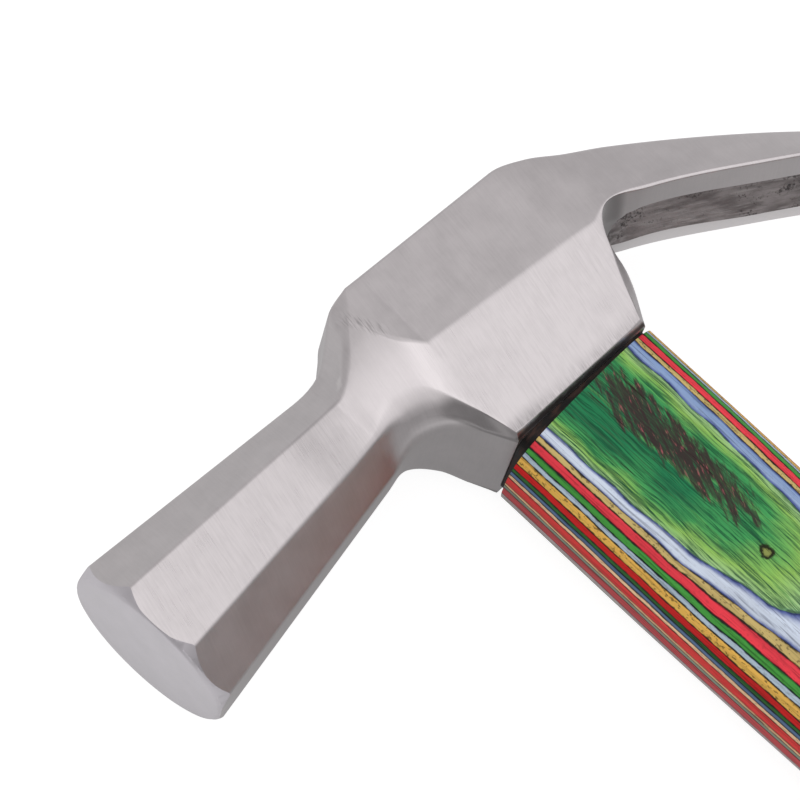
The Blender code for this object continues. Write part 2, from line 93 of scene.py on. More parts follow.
# The front between barrel and cheek: the shoulder's flat and how it flows into its neighbours.
SHOULDER_LIFT = 0.73            # above the neck's flats, at the neck
SHOULDER_RISE = 0.313           # towards the cheek
SHOULDER_LEAN = 0.12            # how fast it falls back towards the top
SHOULDER_BOW = 0.0131
SHOULDER_BOW_FROM = -2.0        # the bow starts at this height
FLOW = 0.35                     # how far barrel and shoulder are rounded into each other
EDGE_FLOW = 0.2                 # and how far shoulder and cheek are

# How finely the pieces are drawn.
ROUND_STEPS = 5                 # faces round each long edge of the head
FLAT_POINTS = 7                 # points on each flat between two of those edges
ROUND_LIMIT = 0.42              # the most of a flat that one rounded edge may take
CROWN_STEPS = 8
FACE_SIDES = 144
EYE_SIDES = 72
BEDDING_SIDES = 96
HANDLE_SIDES = 128
HANDLE_ROWS = (16, 190, 1, 10)  # butt, shaft, shoulder step, tenon
SKIN_ANGLE = math.radians(50)   # steeper edges stay sharp: on the forged skin,
CUT_ANGLE = math.radians(20)    # where the head is cut,
PLAIN_ANGLE = math.radians(40)  # and on wood and resin
SLIVER = 1e-5                   # how close to a saw cut a point counts as on it

# Eye, tenon and wedges.
EYE_HALF_LENGTH = 9.3
EYE_HALF_WIDTH = 5.6
EYE_CLEARANCE = 0.3
EYE_ROUND = 4.0
KERF_LEVEL = -11.0
KERF_SPREAD = 0.6
TENON_INSET = 0.3
STEEL_HALF_LENGTH = 3.3
STEEL_TOP_HALF = 1.1
STEEL_CLEARANCE = 0.2
STEEL_DEPTH = 12.0
NOTCH_FOOT_HALF = 0.5
NOTCH_SPREAD = 0.55             # wider than the steel wedge, at the top

# Bedding: how far inside the boss's foot the resin ends, and the fullness of its corners.
BEDDING_INSET = 0.4
BEDDING_ROUND = 9.0

# Handle.
SHOULDER_LEVEL = -20.6
RIPPLE_TOP = SHOULDER_LEVEL + 0.01      # glue lines ripple up to here, and the tenon's are level
RIPPLE_SLOW, RIPPLE_QUICK = 0.26, 0.13
HANDLE_LENGTH = 308.0
SHOULDER_WIDTH = 14.1
BELLY_WIDTH, BELLY_AT = 14.2, 46.0
WAIST_WIDTH, WAIST_AT = 12.6, 150.0
SWELL_WIDTH, SWELL_AT = 15.6, 268.0
BUTT_WIDTH = 14.4
BUTT_ROUND = 9.0
BUTT_FLAT = 0.5
HANDLE_ROUND = 3.0
STACK_HALF = 12.5
GRIP_HALF = 11.05
THIN_FROM, THIN_TO = 30.0, 98.0

# Studio. The camera's place is in metres, in the row frame.
CAMERA_RIGHT = Vector((0.67991, -0.72536, 0.10755))
CAMERA_UP = Vector((0.66833, 0.67333, 0.31614))
CAMERA_PLACE = Vector((-0.214866, -0.086370, 0.636416))
LENS = 225
SENSOR_WIDTH = 36
LIGHT_LEVEL = 0.9               # how bright a white card on the floor renders
HORIZON_LEVEL = 0.52            # the dome all round,
OVERHEAD_LEVEL = 1.26           # above,
LAMP_LIFT = 0.5                 # and how much more over the head
FLOOR_LEVEL = 1.25              # the floor's own light to the camera,
FLOOR_SEEN = 0.7                # its share there, where the rest shows the shadow,
FLOOR_MIRRORED = 0.9            # and its share in the steel
WHITE = (1, 1, 1, 1)

# Steel: its colours, as linear red, green and blue, and places on it.
HEAD_STEEL = (0.570, 0.540, 0.547)
FACE_STEEL = (0.570, 0.545, 0.575)
NICKS_FROM = 19.6               # row height where the nicks on the shoulder's edge start
THROAT_PLACE = (21.0, 4.9)      # row place of the painted shade between the claws


def paint(red, green, blue):
    """A colour as the eye sees it under the studio light, turned into a surface colour."""
    values = []
    for part in (red, green, blue):
        line = part / 12.92 if part <= 0.04045 else ((part + 0.055) / 1.055) ** 2.4
        values.append(min(line / LIGHT_LEVEL, 0.95))
    return (*values, 1.0)


# Veneers from the upper cheek's side to the lower: node, thickness, middle colour, colour at the
# glue line, width of that tint in millimetres, amount of dark flecks.
VENEERS = (
    ("veneer_01_green", 0.76, (0.20, 0.55, 0.34), (0.42, 0.62, 0.45), 0.05, 0.0),
    ("veneer_02_pale_blue", 0.61, (0.80, 0.84, 0.90), (0.28, 0.34, 0.58), 0.18, 0.10),
    ("veneer_03_olive", 0.43, (0.78, 0.69, 0.44), (0.42, 0.34, 0.16), 0.08, 0.60),
    ("veneer_04_bright_red", 0.75, (0.90, 0.25, 0.30), (0.60, 0.10, 0.13), 0.12, 0.15),
    ("veneer_05_green", 0.70, (0.28, 0.60, 0.26), (0.08, 0.30, 0.14), 0.16, 0.20),
    ("veneer_06_light_blue", 0.63, (0.68, 0.75, 0.80), (0.30, 0.40, 0.56), 0.12, 0.25),
    ("veneer_07_amber", 1.22, (0.88, 0.70, 0.34), (0.64, 0.43, 0.15), 0.12, 0.70),
    ("veneer_08_dark_red", 1.13, (0.78, 0.13, 0.13), (0.44, 0.05, 0.07), 0.16, 0.15),
    ("veneer_09_dark_green", 0.72, (0.20, 0.42, 0.20), (0.06, 0.18, 0.09), 0.12, 0.20),
    ("veneer_10_navy", 0.93, (0.36, 0.46, 0.60), (0.10, 0.14, 0.25), 0.35, 0.15),
    ("veneer_11_cream", 0.92, (0.95, 0.79, 0.62), (0.70, 0.50, 0.34), 0.10, 0.30),
    ("veneer_12_red", 2.40, (0.88, 0.23, 0.22), (0.58, 0.09, 0.10), 0.20, 0.12),
    ("veneer_13_tan", 0.80, (0.92, 0.75, 0.56), (0.62, 0.45, 0.30), 0.10, 0.30),
    ("veneer_14_grey_green", 1.15, (0.56, 0.60, 0.53), (0.22, 0.27, 0.24), 0.30, 0.20),
    ("veneer_15_rose_red", 2.65, (0.78, 0.29, 0.31), (0.48, 0.12, 0.15), 0.30, 0.12),
    ("veneer_16_grey", 2.20, (0.74, 0.70, 0.70), (0.44, 0.40, 0.41), 0.20, 0.25),
    ("veneer_17_green", 0.90, (0.30, 0.62, 0.28), (0.10, 0.33, 0.17), 0.16, 0.20),
    ("veneer_18_amber", 1.00, (0.90, 0.72, 0.36), (0.66, 0.46, 0.18), 0.12, 0.70),
    ("veneer_19_red", 1.20, (0.88, 0.23, 0.22), (0.58, 0.09, 0.10), 0.20, 0.12),
    ("veneer_20_blue", 1.00, (0.42, 0.52, 0.68), (0.18, 0.24, 0.42), 0.25, 0.20),
    ("veneer_21_olive", 0.70, (0.78, 0.69, 0.44), (0.45, 0.36, 0.18), 0.12, 0.55),
    ("veneer_22_green", 1.10, (0.20, 0.55, 0.34), (0.42, 0.64, 0.34), 0.40, 0.30),
    ("veneer_23_maroon", 1.10, (0.40, 0.23, 0.24), (0.24, 0.11, 0.13), 0.30, 0.45),
)
KERF_VENEER = 13                # its place in the stack, from 0
TOP_VENEER = VENEERS[0][0]
BLUE_VENEER = VENEERS[1][0]
LAST_VENEER = VENEERS[-1][0]


class Wire:
    """A socket of a node tree that can be used in plain arithmetic."""

    def __init__(self, tree, socket=None):
        self.tree = tree
        self.socket = socket

    def plug(self, node, sockets):
        for key, value in sockets.items():
            if isinstance(value, Wire):
                self.tree.links.new(value.socket, node.inputs[key])
            else:
                node.inputs[key].default_value = value

    def node(self, kind, settings=None, sockets=None, out=0):
        """Add a node with its settings first, then its sockets, and give one of its outputs."""
        node = self.tree.nodes.new(kind)
        for key, value in (settings or {}).items():
            if key == "stops":
                ramp = node.color_ramp.elements
                while len(ramp) < len(value):
                    ramp.new(1.0)
                for stop, (spot, colour) in zip(ramp, value):
                    stop.position = spot
                    stop.color = colour
            else:
                setattr(node, key, value)
        self.plug(node, sockets or {})
        return Wire(self.tree, node.outputs[out])

    def other(self, name):
        """Another output of the same node."""
        return Wire(self.tree, self.socket.node.outputs[name])

    def math(self, operation, *values):
        return self.node("ShaderNodeMath", {"operation": operation}, dict(enumerate(values)))

    def __add__(self, value):
        return self.math("ADD", self, value)

    def __sub__(self, value):
        return self.math("SUBTRACT", self, value)

    def __rsub__(self, value):
        return self.math("SUBTRACT", value, self)

    def __mul__(self, value):
        return self.math("MULTIPLY", self, value)

    def __truediv__(self, value):
        return self.math("DIVIDE", self, value)

    def __rtruediv__(self, value):
        return self.math("DIVIDE", value, self)

    def __pow__(self, value):
        return self.math("POWER", self, value)

    __radd__ = __add__
    __rmul__ = __mul__

    def ranged(self, settings, low, high, first, last):
        sockets = {"Value": self, "From Min": low, "From Max": high,
                   "To Min": first, "To Max": last}
        return self.node("ShaderNodeMapRange", settings, sockets)

    def smooth(self, low, high, first=0.0, last=1.0):
        """Ease from one value to another between two levels of this one."""
        return self.ranged({"interpolation_type": "SMOOTHSTEP"}, low, high, first, last)

    def fade(self, low, high):
        """Ease from one down to zero."""
        return self.smooth(low, high, 1.0, 0.0)

    def band(self, low, full, falling, high):
        """One between two levels of this value, eased to zero on both sides."""
        return self.smooth(low, full) * self.fade(falling, high)

    def linear(self, low, high, first=0.0, last=1.0):
        """From one value to another along a straight line."""
        return self.ranged({"clamp": True}, low, high, first, last)

    def point(self, x, y, z):
        return self.node("ShaderNodeCombineXYZ", None, {"X": x, "Y": y, "Z": z})

    def grain(self, where, detail=3.0, roughness=0.55, distortion=0.0):
        """Soft noise around one half."""
        sockets = {"Vector": where, "Scale": 1.0, "Detail": detail, "Roughness": roughness,
                   "Distortion": distortion}
        return self.node("ShaderNodeTexNoise", {"noise_dimensions": "3D"}, sockets)

    def blend(self, factor, first, second):
        """Mix two colours."""
        return self.node("ShaderNodeMix", {"data_type": "RGBA", "blend_type": "MIX"},
                         {0: factor, 6: first, 7: second}, 2)

    def bump(self, height, strength, distance):
        return self.node("ShaderNodeBump", None,
                         {"Strength": strength, "Distance": distance, "Height": height})


def new_finish(name, **constants):
    """A material with the numbers that are the same all over it: material, first wire, shader."""
    material = bpy.data.materials.new(name)
    material.use_nodes = True
    start = Wire(material.node_tree)
    shader = material.node_tree.nodes["Principled BSDF"]
    start.plug(shader, {key.replace("_", " ").title(): value for key, value in constants.items()})
    return material, start, shader


def millimetres(start):
    """The three Object coordinates, in millimetres."""
    axes = start.node("ShaderNodeSeparateXYZ", None,
                      {"Vector": start.node("ShaderNodeTexCoord", None, None, "Object")})
    return axes * 1000, axes.other("Y") * 1000, axes.other("Z") * 1000


def looking_up(start):
    """How far the surface faces up: 1 on a level top, 0 on a wall, -1 on a level underside."""
    facing = start.node("ShaderNodeNewGeometry", None, None, "Normal")
    return start.node("ShaderNodeSeparateXYZ", None, {"Vector": facing}).other("Z")


def place(point):
    """A point in hammer millimetres, moved into the row frame in metres."""
    return Vector((point[0], point[1] + CHEEK_CENTRE, point[2] + CHEEK_HALF)) * MM


def look_from_photo():
    """The camera: it looks down on the hammer, which lies on its lower cheek."""
    camera = bpy.data.objects.new("camera", bpy.data.cameras.new("camera"))
    camera.data.sensor_width = SENSOR_WIDTH
    camera.data.lens = LENS
    camera.data.clip_start = 0.01
    bpy.context.scene.collection.objects.link(camera)
    back = CAMERA_RIGHT.cross(CAMERA_UP)
    turn = Matrix((CAMERA_RIGHT, CAMERA_UP, back)).transposed().to_4x4()
    camera.matrix_world = Matrix.Translation(CAMERA_PLACE) @ turn
    bpy.context.scene.camera = camera


def light_studio():
    """A soft dome, white to the camera: brightest over the head, dimmest on the handle's side."""
    world = bpy.data.worlds.new("studio")
    bpy.context.scene.world = world
    world.use_nodes = True
    world.node_tree.nodes.clear()
    start = Wire(world.node_tree)
    way = start.node("ShaderNodeTexCoord", None, None, "Generated")
    axes = start.node("ShaderNodeSeparateXYZ", None, {"Vector": way})
    to_top = axes.other("Y")
    upright = axes.other("Z")
    horizon = to_top * 0.18 + axes * 0.08 + HORIZON_LEVEL
    overhead = (upright - to_top * 0.12).smooth(0.50, 0.86)
    lamp = (axes * -0.14 + to_top * 0.36 + upright * 0.92).smooth(0.91, 1.0)
    level = horizon + (OVERHEAD_LEVEL + lamp * LAMP_LIFT - horizon) * overhead
    dome = start.node("ShaderNodeBackground", None,
                      {"Color": (1.0, 0.985, 0.99, 1.0), "Strength": level})
    white = start.node("ShaderNodeBackground", None, {"Color": WHITE, "Strength": 1.0})
    seen = start.node("ShaderNodeLightPath", None, None, "Is Camera Ray")
    mixed = start.node("ShaderNodeMixShader", None, {0: seen, 1: dome, 2: white})
    output = world.node_tree.nodes.new("ShaderNodeOutputWorld")
    start.plug(output, {"Surface": mixed})


def lay_floor():
    """A pale floor, white to the camera with a soft shadow.

    In the steel it is dim beside the handle, paler past the face and palest below the claws.
    """
    mesh = bpy.data.meshes.new("floor")
    half = 3.0
    mesh.from_pydata([(-half, -half, 0), (half, -half, 0), (half, half, 0), (-half, half, 0)], [],
                     [(0, 1, 2, 3)])
    floor = bpy.data.objects.new("floor", mesh)
    bpy.context.scene.collection.objects.link(floor)
    material, start, shader = new_finish("pale_floor", base_color=(0.9, 0.9, 0.9, 1), roughness=0.9)
    path = start.node("ShaderNodeLightPath", None, None, "Is Camera Ray")
    mirrored = path.other("Is Glossy Ray")
    x, y, _ = millimetres(start)
    # Painted shadow beside the handle, and painted paler patches past the face and below the claws,
    # seen only in the steel.
    beside_handle = ((x + 5) / 60) ** 2 + ((y + 50) / 60) ** 2
    nook = beside_handle.smooth(0.9, 2.0, 0.42, 0.69)
    ends = x.fade(-75, -55) * 0.28 + x.smooth(24, 32) * 0.14
    below_claws = x * 0.535 + y * 0.845 - 16.4
    strip = below_claws.band(-5, -1, 3, 7) * x.smooth(20, 26) * 0.35
    level = path * FLOOR_LEVEL + mirrored * (nook + ends + strip)
    white = start.node("ShaderNodeEmission", None, {"Color": WHITE, "Strength": level})
    seen = path * FLOOR_SEEN + mirrored * FLOOR_MIRRORED
    card = Wire(start.tree, shader.outputs[0])
    mixed = start.node("ShaderNodeMixShader", None, {0: seen, 1: card, 2: white})
    start.plug(material.node_tree.nodes["Material Output"], {"Surface": mixed})
    mesh.materials.append(material)


def shoulder_nicks(x, y, ragged):
    """Ragged nicks along the edge that runs down from the shoulder's peak."""
    aside = x + SHOULDER_REACH
    above = y - NICKS_FROM
    run = aside * 0.31 - above * 0.95
    off = aside * 0.95 + above * 0.31
    return (ragged - 0.5) * run.band(-1.5, 0.0, 4.5, 6.5) * off.band(-1.3, -0.4, 0.4, 1.2)


def painted_hollow_shade(start, x, y, z, flat):
    """Painted shade in the hollows: in the cove beside the boss and between the claws."""
    rim = start.math("ABSOLUTE", z - CHEEK_HALF)
    cove = rim.smooth(10.2, 10.8) * y.fade(1.0, 3.5) * flat.fade(0.82, 0.93)
    cove = cove * x.band(-17.0, -15.2, -11.5, -10.5)
    throat_x, throat_y = THROAT_PLACE
    throat = ((x - throat_x) ** 2 + (y - throat_y) ** 2).fade(0.8, 7.0) * flat.fade(0.5, 0.8)
    return start.math("MAXIMUM", cove * 0.50, throat * 0.62)


def ground_steel(name, lines, colour):
    """Belt-ground steel: lines across the head, cloudy sheen, nicks, worn edges with a painted
    highlight, a darker foot chamfer, and painted shade in the hollows, along the foot and at the
    neck.
    """
    material, start, shader = new_finish(name, metallic=1.0)
    x, y, z = millimetres(start)
    across = x * 0.97 - y * 0.24
    along = x * 0.24 + y * 0.97
    belt = start.grain(start.point(across * 4.2, along * 0.13, z * 0.15), 2.0, 0.6)
    fine = start.grain(start.point(across * 7.5, along * 0.40, z * 0.4), 1.0, 0.5)
    ragged = start.grain(start.point(across * 5.5, along * 0.40, z * 0.4), 2.0, 0.6)
    cloud = start.grain(start.point(x * 0.22, y * 0.22, z * 0.22), 4.0, 0.6)
    flat = start.math("ABSOLUTE", looking_up(start))
    brushed = flat.smooth(0.93, 0.985, 0.45, 1.0) * lines
    grit = (belt * 0.5 + fine * 0.5 - 0.5) * brushed
    nicks = shoulder_nicks(x, y, ragged)

    above_foot = y + (FOOT_DEPTH - CHEEK_CENTRE) + x * FOOT_TILT - (cloud - 0.5) * 1.2
    boss = x.band(-17, -14, 14, 17)
    # Darker and rougher on the foot's chamfer.
    chamfer_dark = above_foot.fade(0.30, 0.75) * boss * flat.smooth(0.2, 0.5)
    # Painted shade on the cheek just above the foot, weaker towards the claws.
    foot_shade = above_foot.fade(0.7, 3.2) * boss * flat.smooth(0.90, 0.97)
    foot_shade = foot_shade * (x.smooth(-9, -4, 0.33, 0.15) + (ragged - 0.5) * 0.8)
    # Painted shade on the barrel's front at the neck.
    neck = x.band(-36, -30, -24, -21.5) * flat.smooth(0.80, 0.95)
    tone = 0.95 + grit * 0.36 + (cloud - 0.5) * 0.26 + nicks * 1.5 - foot_shade - neck * 0.16

    # Lighter steel on sharp edges: partly wear, partly a painted highlight.
    worn = start.node("ShaderNodeNewGeometry", None, None, "Pointiness").smooth(0.53, 0.64)
    base = start.blend(tone, (0.0, 0.0, 0.0, 1), (*colour, 1))
    worn_and_highlit = start.blend(worn * 0.25, base, (0.78, 0.75, 0.75, 1))
    # Painted shade in the cove beside the boss and between the claws.
    hollow_shaded = start.blend(painted_hollow_shade(start, x, y, z, flat), worn_and_highlit, (0.10, 0.094, 0.094, 1))
    start.plug(shader, {
        "Base Color": start.blend(chamfer_dark * 0.95, hollow_shaded, (0.030, 0.020, 0.017, 1)),
        "Roughness": 0.36 - brushed * 0.13 + grit * 0.10 + cloud * 0.14 + chamfer_dark * 0.25,
        "Normal": start.bump(grit - nicks * 0.9, 0.13, 0.00008),
    })
    return material


def forged_scale():
    """The groove left as forged: dull grey with streaks along it, dark pits and scale."""
    material, start, shader = new_finish("forged_scale", metallic=0.8)
    x, y, z = millimetres(start)
    run = x * 0.84 - y * 0.54
    rise = x * 0.54 + y * 0.84
    patch = start.grain(start.point(run * 0.16, rise * 0.5, z * 0.5), 4.0, 0.6)
    pits = start.grain(start.point(x * 2.6, y * 2.6, z * 2.6), 4.0, 0.6)
    clusters = start.grain(start.point(run * 0.22, rise * 0.6, z * 0.6 + 7), 2.0, 0.5)
    streak = start.grain(start.point(run * 0.16, rise * 1.6, z * 2.2), 4.0, 0.65)
    dark = (pits * 0.6 + clusters * 0.7).smooth(0.71, 0.84)
    grey = start.blend(patch.smooth(0.35, 0.65), (0.17, 0.155, 0.155, 1), (0.32, 0.30, 0.30, 1))
    marked = start.blend(streak.smooth(0.46, 0.68) * 0.6, grey, (0.44, 0.42, 0.42, 1))
    start.plug(shader, {
        "Base Color": start.blend(dark * 0.75, marked, (0.030, 0.027, 0.027, 1)),
        "Roughness": 0.38 + pits * 0.25,
        "Normal": start.bump(pits * 0.6 + streak * 0.4 - dark * 0.5, 0.4, 0.0002),
    })
    return material


def dyed_veneer(name, thickness, middle, border, tint_width, flecks):
    """Dyed veneer: streaks and pores along the handle, dye darker towards its black glue lines."""
    material, start, shader = new_finish(name)
    shader.inputs["Specular IOR Level"].default_value = 0.10
    x, y, z = millimetres(start)
    share = start.node("ShaderNodeAttribute", {"attribute_name": "ply_share"}, None, "Fac")
    streak = start.grain(start.point(x * 0.9, y * 0.035, z * 1.2), 4.0, 0.62, 0.3)
    pores = start.grain(start.point(x * 4.0, y * 0.10, z * 4.0), 3.0, 0.6)
    specks = start.grain(start.point(x * 2.6, y * 1.3, z * 2.6), 3.0, 0.6)
    cracks = start.grain(start.point(x * 1.7, y * 0.06, z * 1.7 + 11), 4.0, 0.6).smooth(0.66, 0.70)
    ragged = (start.grain(start.point(x * 0.8, y * 0.25, z * 0.8), 4.0, 0.6) - 0.5) * 0.16
    if name == TOP_VENEER:
        edge = share
    elif name == LAST_VENEER:
        edge = 1 - share
    else:
        edge = start.math("MINIMUM", share, 1 - share)
    depth = edge * thickness + ragged
    tint = depth.fade(0.0, tint_width)
    level = looking_up(start)
    slope = start.math("SQRT", 1.02 - level * level)
    torn = start.grain(start.point(x * 1.4, y * 0.7, z * 1.4 + 3), 3.0, 0.6) - 0.5
    glue = (depth / slope + torn * 0.45).fade(0.02, 0.18)
    light = start.blend(streak.smooth(0.35, 0.7) * 0.45, paint(*middle),
                        paint(*(part * 0.74 for part in middle)))
    if name == TOP_VENEER:
        light = green_face(start, share, x, y, z)
    if name == BLUE_VENEER:
        light = start.blend(x.smooth(2, 11) * 0.9, light, paint(0.40, 0.53, 0.73))
    dyed = start.blend(tint, light, paint(*border))
    grained = start.blend(pores.smooth(0.5, 0.68) * 0.5, dyed,
                          paint(*(part * 0.5 for part in border)))
    flecked = start.blend(specks.smooth(0.56, 0.64) * flecks, grained, (0.04, 0.022, 0.012, 1))
    cracked = start.blend(cracks * 0.8, flecked, (0.02, 0.012, 0.01, 1))
    strength = 0.6 if name in (TOP_VENEER, BLUE_VENEER) else 0.92
    start.plug(shader, {
        "Base Color": start.blend(glue * strength, cracked, (0.012, 0.012, 0.014, 1)),
        "Roughness": 0.38 + pores * 0.2,
        "Normal": start.bump(pores * 0.5 - glue * 0.6 - cracks * 0.5, 0.3, 0.00012),
    })
    return material


def green_face(start, share, x, y, z):
    """The outer veneer: lime where it is worn thin, dark grain, a maroon remnant and a pin knot."""
    bend = start.grain(start.point(x * 0.14, y * 0.05, z * 0.1), 3.0) * 7.0
    wave = start.grain(start.point(x * 0.35 + bend, y * 0.03, z * 0.3), 3.0, 0.6)
    worn = share + (wave - 0.5) * 0.35
    green = start.node("ShaderNodeValToRGB", {"stops": (
        (0.06, paint(0.60, 0.75, 0.52)), (0.36, paint(0.56, 0.74, 0.36)),
        (0.60, paint(0.27, 0.61, 0.34)), (0.90, paint(0.13, 0.47, 0.30)))}, {"Fac": worn})
    lines = start.grain(start.point(x * 3.2 + bend, y * 0.09, z * 2.0), 4.0, 0.7)
    hairs = start.grain(start.point(x * 8.0 + bend, y * 0.28, z * 4.0), 3.0, 0.6)
    pale = start.grain(start.point(x * 1.3 + bend, y * 0.04, z * 1.1 + 5), 4.0, 0.65)
    green = start.blend(pale.smooth(0.5, 0.7) * 0.55, green, paint(0.42, 0.69, 0.36))
    grain = lines.smooth(0.46, 0.60) * 0.72 + hairs.smooth(0.5, 0.7) * 0.45
    grained = start.blend(grain, green, paint(0.06, 0.27, 0.18))
    slant = x * 0.92 - y * 0.39
    length = x * 0.39 + y * 0.92
    run = (y + 24.6) / 16.0
    inside = 1 - run ** 4 - ((x - 1.9) / 3.4) ** 2
    torn = start.grain(start.point(slant * 1.1, length * 0.16, z * 0.4), 5.0, 0.7)
    remnant = (inside * 1.1 + run * 0.30 + (torn - 0.5) * 4.0).smooth(0.18, 0.80)
    flecks = start.grain(start.point(slant * 3.2, length * 0.5, z * 0.8), 3.0, 0.6)
    maroon = start.blend(flecks.smooth(0.57, 0.72), paint(0.21, 0.15, 0.16),
                         paint(0.60, 0.30, 0.34))
    strands = start.grain(start.point(slant * 2.4, length * 0.11, z * 0.5 + 9), 4.0, 0.65)
    marked = start.blend(remnant * strands.smooth(0.36, 0.56, 0.70, 0.95), grained, maroon)
    bark = start.grain(start.point(x * 1.3, y * 1.3, z), 3.0, 0.6)
    knot = start.math("SQRT", (x + 0.3) ** 2 + ((y + 41.4) * 0.85) ** 2) + (bark - 0.5) * 0.9
    heart = start.blend(knot.fade(0.3, 0.6), paint(0.13, 0.15, 0.07), paint(0.52, 0.55, 0.30))
    return start.blend(knot.fade(0.75, 1.1), marked, heart)


def black_resin():
    """Poured resin, nearly black, with a brown mottle."""
    material, start, shader = new_finish("black_resin")
    shader.inputs["Specular IOR Level"].default_value = 0.15
    x, y, z = millimetres(start)
    mottle = start.grain(start.point(x * 0.5, y * 1.4, z * 0.5), 3.0)
    start.plug(shader, {
        "Base Color": start.blend(mottle.smooth(0.4, 0.7), (0.006, 0.005, 0.005, 1),
                                  (0.045, 0.022, 0.017, 1)),
        "Roughness": 0.35 + mottle * 0.3,
        "Normal": start.bump(mottle, 0.3, 0.0002),
    })
    return material


def beech_end():
    """The wooden wedge: pale growth rings with dark flecks."""
    material, start, shader = new_finish("beech")
    x, y, z = millimetres(start)
    rings = start.grain(start.point(x * 0.25, y * 0.05, z * 3.0), 3.0, 0.6)
    flecks = start.grain(start.point(x * 5.0, y * 0.4, z * 5.0), 2.0)
    wood = start.blend(rings.smooth(0.35, 0.65), (0.60, 0.40, 0.22, 1), (0.44, 0.26, 0.13, 1))
    start.plug(shader, {
        "Base Color": start.blend(flecks.smooth(0.55, 0.7) * 0.6, wood, (0.22, 0.12, 0.06, 1)),
        "Roughness": 0.5 + flecks * 0.2,
        "Normal": start.bump(flecks, 0.3, 0.0002),
    })
    return material


def wedge_steel():
    """The steel wedge: dented by the hammer that drove it."""
    material, start, shader = new_finish("wedge_steel", metallic=1.0)
    x, y, z = millimetres(start)
    dents = start.grain(start.point(x * 1.2, y * 1.2, z * 1.2), 3.0, 0.6)
    start.plug(shader, {
        "Base Color": start.blend(dents.smooth(0.35, 0.7), (0.42, 0.41, 0.41, 1),
                                  (0.20, 0.19, 0.19, 1)),
        "Roughness": 0.35 + dents * 0.3,
        "Normal": start.bump(dents, 0.4, 0.0003),
    })
    return material


def loft(rings):
    """Skin closed rings of the same count of points and cap both ends."""
    shape = bmesh.new()
    rows = [[shape.verts.new(point) for point in ring] for ring in rings]
    count = len(rows[0])
    for row, following in zip(rows, rows[1:]):
        for i in range(count):
            j = (i + 1) % count
            shape.faces.new((row[i], row[j], following[j], following[i]))
    shape.faces.new(rows[0][::-1])
    shape.faces.new(rows[-1])
    bmesh.ops.recalc_face_normals(shape, faces=shape.faces)
    return shape


def to_object(name, shape, *materials):
    """A bmesh in hammer millimetres becomes an object in the row frame."""
    for vert in shape.verts:
        vert.co = place(vert.co)
    mesh = bpy.data.meshes.new(name)
    shape.to_mesh(mesh)
    shape.free()
    for material in materials:
        mesh.materials.append(material)
    piece = bpy.data.objects.new(name, mesh)
    bpy.context.scene.collection.objects.link(piece)
    return piece


def settle(piece):
    """Turn a piece with modifiers into a plain mesh."""
    graph = bpy.context.evaluated_depsgraph_get()
    mesh = bpy.data.meshes.new_from_object(piece.evaluated_get(graph))
    piece.modifiers.clear()
    piece.data = mesh


def cut(piece, cutter, operation):
    """Add one exact cut; faces that it makes take the cutter's finish."""
    step = piece.modifiers.new(cutter.name, "BOOLEAN")
    step.operation = operation
    step.solver = "EXACT"
    step.material_mode = "TRANSFER"
    step.object = cutter


def discard(*things):
    """Remove cutters and helpers that have done their work."""
    for thing in things:
        bpy.data.objects.remove(thing, do_unlink=True)


def keep(piece, slot, *nodes):
    """The piece stands for CAD nodes and rides with the hammer; its slot is not used."""
    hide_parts(*nodes)
    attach(piece, "root")


def edge_curve(knots, corners, steps):
    """Points of one long edge of the head: a smooth line through its knots, broken at corners.

    The barrel's span and the one along the eye are straight lines.
    """
    last = len(knots) - 1
    straight = (0, last - 6)
    points = [knots[0]]
    for i in range(last):
        a = knots[i]
        b = knots[i + 1]
        reach = (b - a).length / 3
        leave = b - a
        arrive = b - a
        if i > 0 and i not in corners and i not in straight:
            before = a - knots[i - 1]
            leave = before if i - 1 in straight else leave.normalized() + before.normalized()
        if i + 1 < last and i + 1 not in corners and i not in straight:
            after = knots[i + 2] - b
            arrive = after if i + 1 in straight else arrive.normalized() + after.normalized()
        first = a + leave.normalized() * reach
        second = b - arrive.normalized() * reach
        points += interpolate_bezier(a, first, second, b, steps[i] + 1)[1:]
    for point in points:
        point.z = min(point.z, CHEEK_HALF)
    return points


def barrel_corner(reach, side):
    """One corner of the octagon at this distance from the handle's axis; side 0 is the top."""
    share = (reach - NECK_REACH) / (FACE_REACH - NECK_REACH)
    half = NECK_FLATS + (FACE_FLATS - NECK_FLATS) * share
    drop = NECK_AXIS_DROP + (FACE_AXIS_DROP - NECK_AXIS_DROP) * share
    flat = half * FLAT_SHARE
    up = (half, flat, -flat, -half)[side]
    out = (flat, half, half, flat)[side]
    return Vector((-reach, up - drop, out))


def top_level(x):
    """Height of the head's top, which falls towards the claws."""
    return TOP_HEIGHT - TOP_FALL * x


def foot_level(x):
    """Height of the boss's tilted foot."""
    return -FOOT_DEPTH - FOOT_TILT * x


def ridge_level(x):
    """Height of the ridge between the cheek and the top's slope."""
    return -RIDGE_DEPTH - RIDGE_FALL * x


def claw_point(share, lift, out):
    """A point along the claws: share of the way from root to tip, lift square to their line."""
    run = Vector((TIP_REACH - ROOT_REACH, ROOT_DEPTH - TIP_DEPTH, 0))
    square = Vector((-run.y, run.x, 0)).normalized()
    span = CLAW_BOW_AT if share < CLAW_BOW_AT else 1 - CLAW_BOW_AT
    bow = CLAW_SAG * (1 - ((share - CLAW_BOW_AT) / span) ** 2)
    base = Vector((ROOT_REACH, -ROOT_DEPTH, 0)) + run * share
    return base + square * (lift + bow) + Vector((0, 0, out))


def claw_thickness(share):
    """Thickness of the claws, from root to tip."""
    return ROOT_THICKNESS + (TIP_THICKNESS - ROOT_THICKNESS) * share


